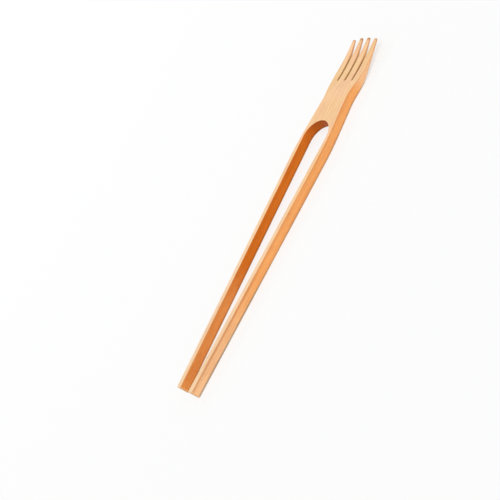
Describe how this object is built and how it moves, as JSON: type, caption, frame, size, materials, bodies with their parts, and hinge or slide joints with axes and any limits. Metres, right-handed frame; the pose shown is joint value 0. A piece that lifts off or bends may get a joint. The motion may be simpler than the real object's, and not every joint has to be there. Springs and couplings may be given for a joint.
{
  "type": "wooden fork-chopstick tongs",
  "caption": "One-piece wooden tongs: a tined fork at one end, and a long slot that splits the rest into springy chopstick arms.",
  "frame": {"origin": "under the middle of the box, on the plane that the flat back rests on", "axes": "+Y along the piece from the chopstick ends to the tines, +Z the normal of the front face, +X across it"},
  "size_m": [0.0286, 0.25, 0.0072],
  "materials": {
    "wood": "fine-sanded and oiled, straight grain along the piece"
  },
  "bodies": {
    "root": {"fork_tongs": "wood"}
  },
  "joints": []
}
